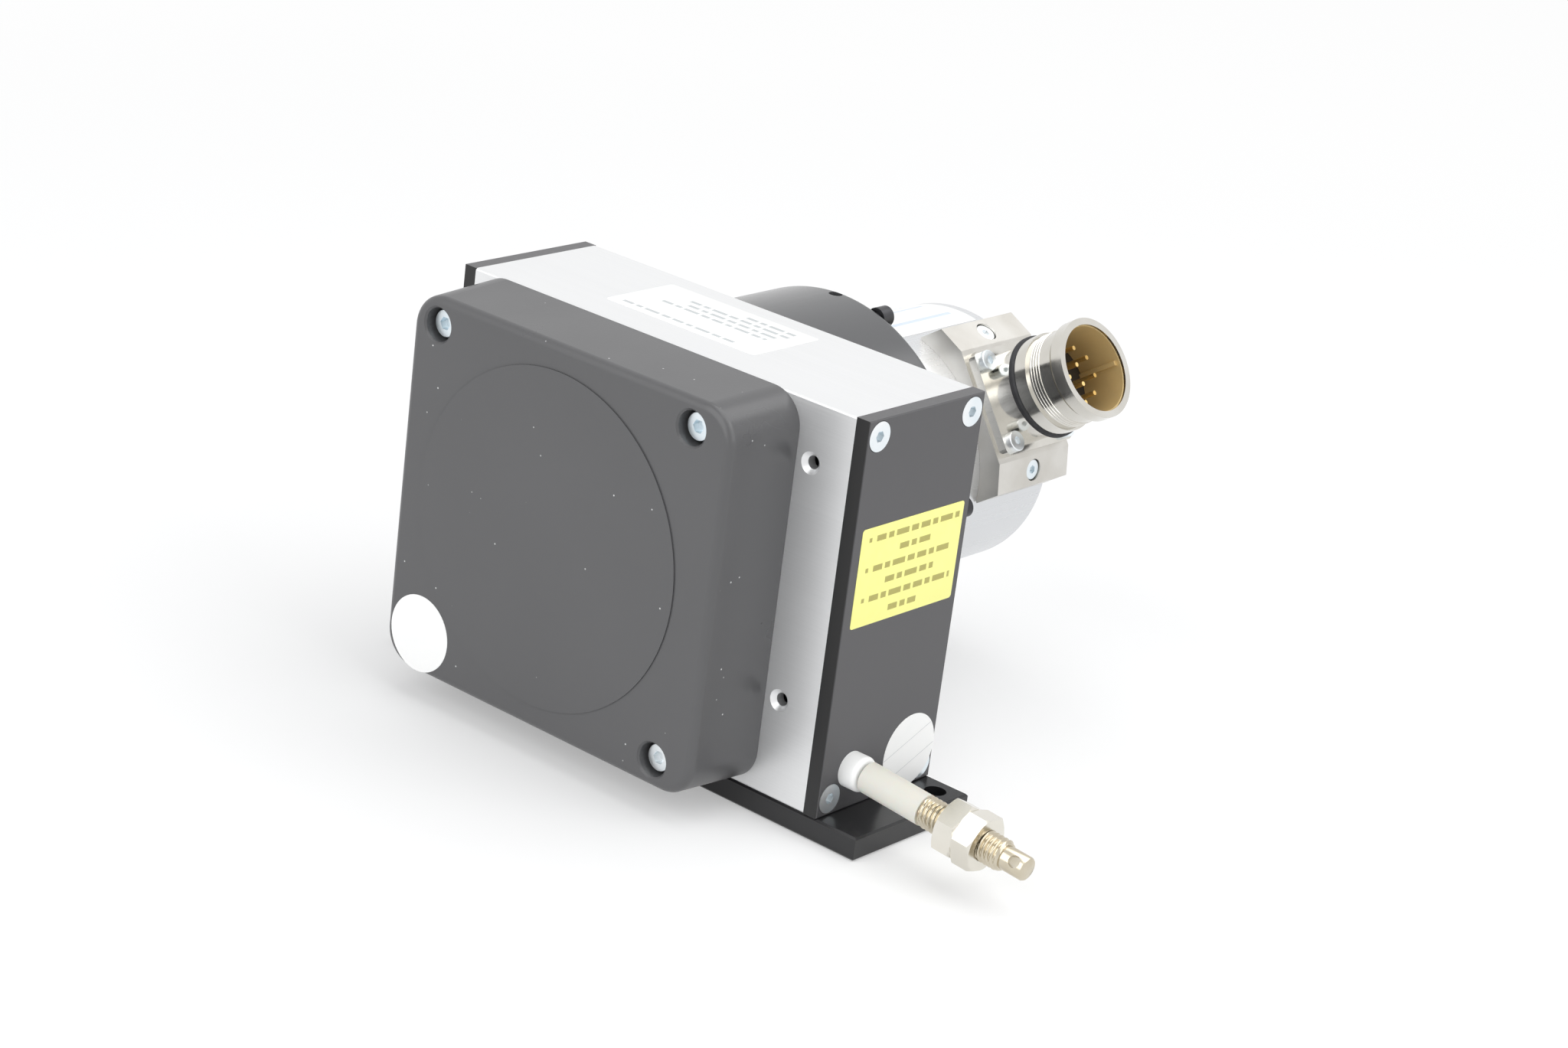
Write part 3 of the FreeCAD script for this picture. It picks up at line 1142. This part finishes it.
# Wire outlet and wire end
def make_nozzle():
    """The white wire outlet in the right end plate."""
    radius = "Sizes.nozzle_bore_radius"
    flare = "(Sizes.nozzle_bore_radius + Sizes.nozzle_flare)"
    inner = "(%s - Sizes.nozzle_inner_length)" % HOUSING_END
    body = new_body("WireNozzle")
    turn_solid(body, sketch(body, "nozzle_profile", "XZ_Plane", [[
        (flare, inner), ("Sizes.nozzle_spigot_radius", inner), ("Sizes.nozzle_spigot_radius", PLATE_FACE),
        ("Sizes.nozzle_radius", PLATE_FACE), ("Sizes.nozzle_radius", NOZZLE_END), (flare, NOZZLE_END),
        (radius, "%s - Sizes.nozzle_flare" % NOZZLE_END), (radius, "%s + Sizes.nozzle_flare" % inner),
    ]]))
    end = size("housing_length")/2 + size("end_plate_thickness") + size("nozzle_length")
    fillet(body, body.Tip, "Sizes.nozzle_edge_radius",
           lambda edge: is_ring(edge, size("nozzle_radius"), "z", end))
    turned_to(body, TO_RIGHT, "0", "Sizes.wire_y", WIRE_Z)
    return keep(body, "wire_nozzle")


def along_fitting(body, label):
    """Set a piece on the wire end's axis, which droops a little from the nozzle's face."""
    body.Placement = Placement(Vector(0, 0, 0), Rotation(Vector(0, 1, 0), 1))
    body.setExpression("Placement.Rotation.Angle", "90 + Sizes.fitting_droop")
    body.setExpression("Placement.Base.x", NOZZLE_END)
    body.setExpression("Placement.Base.y", "Sizes.wire_y")
    body.setExpression("Placement.Base.z", WIRE_Z)
    return keep(body, label)


def make_sleeve():
    """The buffer sleeve over the front of the stud."""
    body = turned_body("EndSleeve", [
        ("Sizes.sleeve_mouth_radius", "Sizes.fitting_gap"), ("Sizes.sleeve_radius", "Sizes.fitting_gap"),
        ("Sizes.sleeve_radius", "Sizes.sleeve_end"),
        ("Sizes.spigot_radius + Sizes.fit_gap", "Sizes.sleeve_end"),
        ("Sizes.spigot_radius + Sizes.fit_gap", "Sizes.spigot_start"),
        ("Sizes.sleeve_mouth_radius", "Sizes.spigot_start"),
    ])
    return along_fitting(body, "end_sleeve")


def make_stud():
    """The threaded stud on the wire's end: spigot, thread, and a tip with an eye."""
    thread = "(Sizes.stud_dia/2)"
    body = turned_body("WireStud", [
        ("0", "Sizes.spigot_start"), ("Sizes.spigot_radius", "Sizes.spigot_start"),
        ("Sizes.spigot_radius", "Sizes.sleeve_end"), (thread, "Sizes.sleeve_end"),
        (thread, "Sizes.stud_thread_end - Sizes.tip_chamfer"),
        ("%s - Sizes.tip_chamfer" % thread, "Sizes.stud_thread_end"),
        ("Sizes.tip_radius", "Sizes.stud_thread_end"),
        ("Sizes.tip_radius", "Sizes.stud_end - Sizes.tip_chamfer"),
        ("Sizes.tip_radius - Sizes.tip_chamfer", "Sizes.stud_end"), ("0", "Sizes.stud_end"),
    ])
    eye = sketch(body, "stud_eye", "XZ_Plane", circles=[("0", "Sizes.eye_station", "Sizes.eye_dia/2")],
                 turn="-Sizes.eye_turn")
    pocket(body, eye, both_ways=True)
    return along_fitting(body, "wire_stud")


def make_nut(name, label, start, turn):
    """A hexagon lock nut with bevelled corners."""
    body = new_body(name)
    end = "(%s + Sizes.nut_thickness)" % start
    block = sketch(body, name + "_hexagon", "XY_Plane", [hexagon("Sizes.nut_flats", "(90 - %s)" % turn)],
                   offset=start)
    pad(body, block, "Sizes.nut_thickness")
    bore = sketch(body, name + "_bore", "XY_Plane", circles=[("0", "0", hole_radius("Sizes.stud_dia"))],
                  offset=start)
    pocket(body, bore, forward=True)
    reach = "(Sizes.nut_flats/2/cos(30))"
    beyond = "(%s + Sizes.nut_chamfer)" % reach
    cut_in = "(%s - Sizes.nut_chamfer)" % reach
    slope = "Sizes.nut_chamfer*tan(30)"
    bevels = sketch(body, name + "_bevels", "XZ_Plane", [
        [(cut_in, start), (beyond, start), (beyond, "%s + 2*%s" % (start, slope))],
        [(cut_in, end), (beyond, end), (beyond, "%s - 2*%s" % (end, slope))],
    ])
    before = body.Shape.Volume
    groove = body.newObject("PartDesign::Groove", name + "_groove")
    groove.Profile = bevels
    groove.ReferenceAxis = (bevels, ["V_Axis"])
    groove.Angle = 360
    doc.recompute()
    if not groove.Shape.Volume < before:
        raise RuntimeError("%s cuts nothing" % groove.Name)
    return along_fitting(body, label)


def make_draw_wire():
    """The stretch of wire from the drum to the stud."""
    wire = doc.addObject("Part::Cylinder", "DrawWire")
    wire.setExpression("Radius", "Sizes.wire_dia/2")
    start = "(%s + Sizes.wire_start)" % AXIS_X
    end = "(%s + Sizes.spigot_start*cos(Sizes.fitting_droop) - Sizes.wire_end_gap)" % NOZZLE_END
    wire.setExpression("Height", "%s - %s" % (end, start))
    turned_to(wire, TO_RIGHT, start, "Sizes.wire_y", WIRE_Z)
    return keep(wire, "draw_wire")


# Screws used in several places
def make_screws():
    """Every screw group, each from one modelled screw."""
    end_screw = countersunk_screw("EndPlateScrew", "Sizes.m4_dia", "Sizes.m4_countersunk_head_dia",
                                  "Sizes.m4_countersunk_length", "Sizes.m4_countersunk_key")
    screw_set("end_plate_screws_right", end_screw, TO_RIGHT, [(PLATE_FACE, y, z) for y, z in corner_points])
    screw_set("end_plate_screws_left", end_screw, TO_LEFT,
              [("-" + PLATE_FACE, y, z) for y, z in corner_points])
    base_screw = countersunk_screw("BasePlateScrew", "Sizes.m4_dia", "Sizes.m4_countersunk_head_dia",
                                   "Sizes.m4_base_screw_length", "Sizes.m4_countersunk_key")
    screw_set("base_plate_screws", base_screw, DOWNWARD, [(x, y, "0") for x, y in base_screw_points])
    cover_screw = cap_screw("CoverScrew", "Sizes.m4_dia", "Sizes.m4_cap_head_dia", "Sizes.m4_cap_head_height",
                            "Sizes.m4_cap_length", "Sizes.m4_key")
    cover_seat = "(%s - Sizes.cover_depth + Sizes.cover_bore_depth)" % HOUSING_FRONT
    screw_set("spring_cover_screws", cover_screw, TO_FRONT,
              [(x, cover_seat, z) for x, z in cover_screw_points])
    plate_screw = countersunk_screw("BearingPlateScrew", "Sizes.m25_dia", "Sizes.m25_head_dia",
                                    "Sizes.m25_length", "Sizes.m25_key")
    plate_front = "(%s - Sizes.bearing_plate_thickness)" % HOUSING_FRONT
    screw_set("bearing_plate_screws", plate_screw, TO_FRONT,
              [(x, plate_front, z) for x, z in about_axis(bearing_plate_ring)])
    rear_screw = countersunk_screw("RearFlangeScrew", "Sizes.m3_dia", "Sizes.m3_countersunk_head_dia",
                                   "Sizes.m3_rear_screw_length", "Sizes.m3_countersunk_key")
    rear_face = "(%s + Sizes.rear_flange_thickness)" % HOUSING_REAR
    screw_set("rear_bearing_screws", rear_screw, TO_REAR,
              [(x, rear_face, z) for x, z in about_axis(rear_flange_ring)])
    adapter_screw = cap_screw("AdapterScrew", "Sizes.m3_dia", "Sizes.m3_cap_head_dia",
                              "Sizes.m3_cap_head_height",
                              "Sizes.m3_adapter_screw_length", "Sizes.m3_key")
    screw_set("adapter_screws", adapter_screw, TO_REAR,
              [(x, ADAPTER_REAR, z) for x, z in about_axis(adapter_ring)])
    flange_screw = cap_screw("FlangeScrew", "Sizes.m3_dia", "Sizes.m3_cap_head_dia",
                             "Sizes.flange_head_height",
                             "Sizes.m3_flange_screw_length", "Sizes.m3_countersunk_key")
    connector_screw_set("connector_flange_screws", flange_screw,
                        [("0 deg", across, along, FLANGE_FACE) for across, along in flange_screw_points])
    facet_screw = cap_screw("FacetScrew", "Sizes.m3_dia", "Sizes.m3_cap_head_dia", "Sizes.facet_head_height",
                            "Sizes.m3_block_screw_length", "Sizes.m3_countersunk_key")
    seat = "(%s - Sizes.facet_seat_depth)" % FACET_DISTANCE
    connector_screw_set("connector_block_screws", facet_screw,
                        [("%d*%s" % (side, FACET_LEAN), "%d*%s" % (side, FACET_OFFSET), "0", seat)
                         for side in (1, -1)])


def connector_screw_set(label, screw, places):
    """Copies of one screw around the connector's axis, each leaned, then moved across, along and out."""
    copies = []
    for number, (lean, across, along, out) in enumerate(places, start=1):
        copy = doc.addObject("App::Link", "%s_%d" % (label, number))
        copy.LinkedObject = screw
        copy.LinkTransform = False
        copy.Placement = Placement(Vector(0, 0, 0), Rotation(Vector(0, 1, 0), 1))
        way = "((90 - Sizes.connector_angle)*1 deg + %s)" % lean
        copy.setExpression("Placement.Rotation.Angle", way)
        copy.setExpression("Placement.Base.x", "%s + (%s)*sin(%s) + (%s)*cos(%s)" % (AXIS_X, out, way,
                                                                                     across, way))
        copy.setExpression("Placement.Base.y", "%s + %s" % (BLOCK_Y, along))
        copy.setExpression("Placement.Base.z", "%s + (%s)*cos(%s) - (%s)*sin(%s)" % (AXIS_Z, out, way,
                                                                                     across, way))
        copies.append(copy)
    group = doc.addObject("Part::Compound", label)
    group.Links = copies
    return keep(group, label)


make_base_plate()
make_housing()
make_end_plate("EndPlateRight", "end_plate_right", TO_RIGHT, True)
make_end_plate("EndPlateLeft", "end_plate_left", TO_LEFT, False)
make_cover()
make_bearing_plate()
make_rear_bearing_housing()
make_bearing("FrontBearing", "front_bearing", ["(%s - Sizes.bearing_plate_thickness)" % HOUSING_FRONT])
make_bearing("RearBearing", "rear_bearing",
             ["(%s + Sizes.rear_flange_thickness - Sizes.bearing_width)" % HOUSING_REAR])
make_drum()
make_winding()
make_shaft("DrumShaft", "drum_shaft", ARBOR_FRONT, DRUM_SHAFT_END)
make_arbor()
make_spring()
make_coupling()
make_adapter()
make_grub_screw()
make_encoder_flange()
make_encoder_cap()
make_bearing("EncoderBearings", "encoder_bearings", [FRONT_BEARING, REAR_BEARING])
make_shaft("EncoderShaft", "encoder_shaft", "(%s + Sizes.shaft_end_gap)" % DRUM_SHAFT_END, DISC_START)
make_code_disc()
make_disc_hub()
make_encoder_board()
make_board_pillars()
make_scan_head()
make_connector_block()
make_connector_shell()
make_o_ring()
make_insert()
make_pins()
make_nozzle()
make_sleeve()
make_stud()
make_nut("InnerNut", "lock_nut_inner", "Sizes.inner_nut_start", "Sizes.inner_nut_turn")
make_nut("OuterNut", "lock_nut_outer", "(Sizes.inner_nut_start + Sizes.nut_thickness)",
         "Sizes.outer_nut_turn")
make_draw_wire()
make_screws()

# Check every object, then write one STEP file for each piece
doc.recompute()
for item in doc.Objects:
    if "Invalid" in item.State or "Error" in item.State:
        raise RuntimeError("%s is %s" % (item.Label, item.State))
for piece in nodes:
    shape = piece.Shape
    if shape.isNull() or not shape.isValid() or not shape.Solids:
        raise RuntimeError("%s has no valid solid" % piece.Label)

os.makedirs("parts", exist_ok=True)
for piece in nodes:
    piece.Shape.exportStep("parts/%s.step" % piece.Label)
    print("%-26s %2d solids %10.1f mm3" % (piece.Label, len(piece.Shape.Solids), piece.Shape.Volume))
print("%d nodes" % len(nodes))
